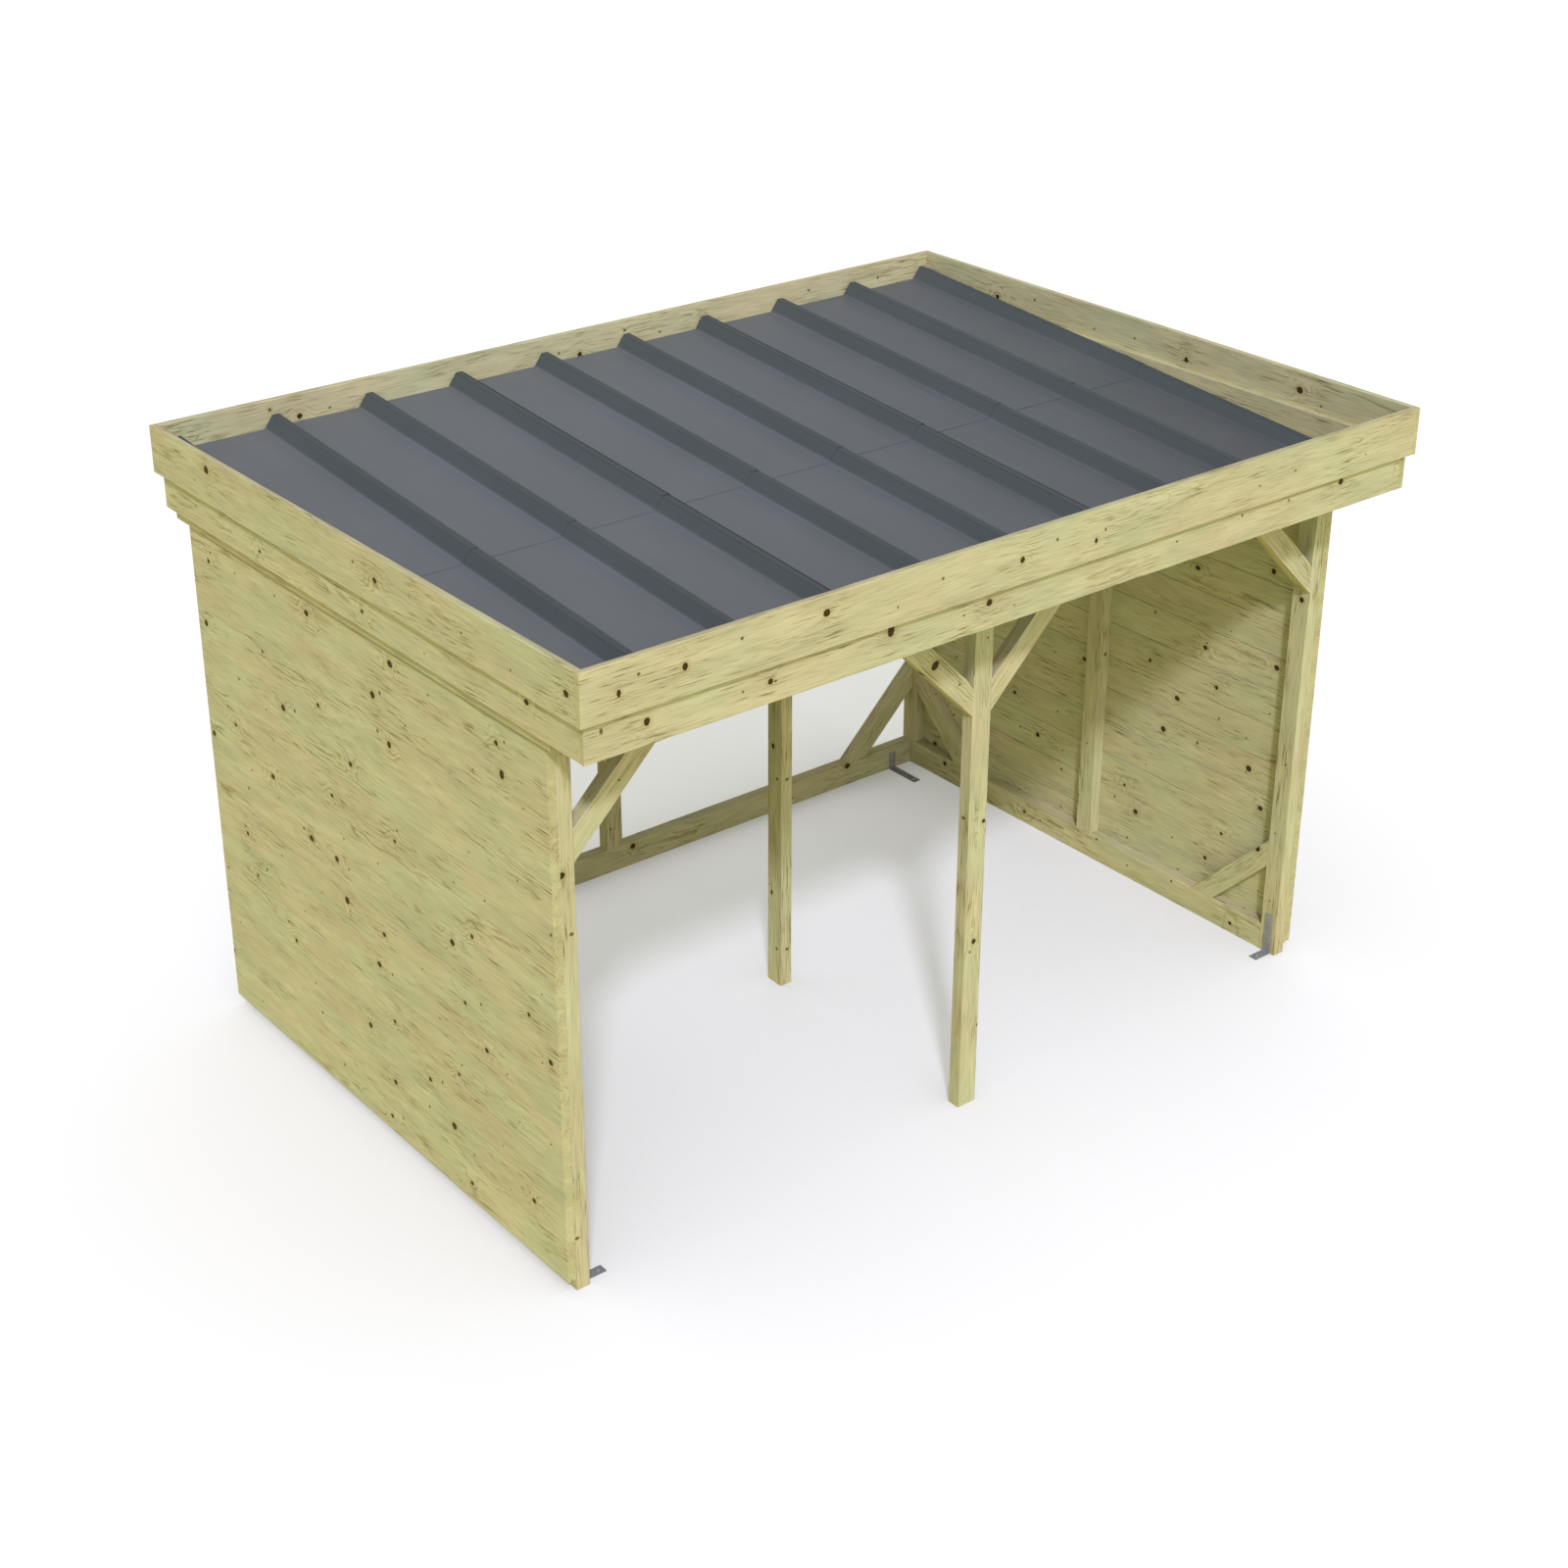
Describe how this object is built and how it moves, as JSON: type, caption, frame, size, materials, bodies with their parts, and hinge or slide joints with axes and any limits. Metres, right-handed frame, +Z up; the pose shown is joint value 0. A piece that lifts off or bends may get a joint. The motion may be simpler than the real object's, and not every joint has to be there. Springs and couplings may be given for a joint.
{
  "type": "firewood shelter",
  "caption": "Open timber firewood shelter with boarded side walls, knee-braced posts and a ribbed steel roof sloping to the front inside a level stepped parapet.",
  "frame": {"origin": "on the floor under the middle of the parapet's outline", "axes": "+X along the front to the right as seen from the front, +Y from the front to the back, +Z up"},
  "size_m": [3.12, 2.27, 2.02],
  "materials": {
    "frame_timber": "sawn, pressure treated pine",
    "wall_boards": "planed, pressure treated pine",
    "parapet_boards": "planed, pressure treated pine",
    "roof_steel": "matt slate grey coating",
    "zinc_bracket": "dull hot-dip zinc"
  },
  "bodies": {
    "root": {"left_front_post": "frame_timber", "left_mid_post": "frame_timber", "left_back_post": "frame_timber", "right_front_post": "frame_timber", "right_mid_post": "frame_timber", "right_back_post": "frame_timber", "front_mid_post": "frame_timber", "centre_post": "frame_timber", "back_mid_post": "frame_timber", "left_sill": "frame_timber", "right_sill": "frame_timber", "back_sill": "frame_timber", "front_beam": "frame_timber", "mid_beam": "frame_timber", "back_beam": "frame_timber", "left_front_brace": "frame_timber", "mid_left_brace": "frame_timber", "mid_right_brace": "frame_timber", "right_front_brace": "frame_timber", "left_wall_front_brace": "frame_timber", "left_wall_back_brace": "frame_timber", "right_wall_front_brace": "frame_timber", "right_wall_back_brace": "frame_timber", "back_left_brace": "frame_timber", "back_right_brace": "frame_timber", "left_wall": "wall_boards", "right_wall": "wall_boards", "left_verge": "parapet_boards", "right_verge": "parapet_boards", "front_upper_board": "parapet_boards", "right_upper_board": "parapet_boards", "back_upper_board": "parapet_boards", "left_upper_board": "parapet_boards", "front_lower_board": "parapet_boards", "right_lower_board": "parapet_boards", "back_lower_board": "parapet_boards", "left_lower_board": "parapet_boards", "front_roof_left": "roof_steel", "front_roof_middle": "roof_steel", "front_roof_right": "roof_steel", "back_roof_left": "roof_steel", "back_roof_middle": "roof_steel", "back_roof_right": "roof_steel", "front_left_bracket": "zinc_bracket", "front_right_bracket": "zinc_bracket", "back_left_bracket": "zinc_bracket", "back_right_bracket": "zinc_bracket"}
  },
  "joints": []
}
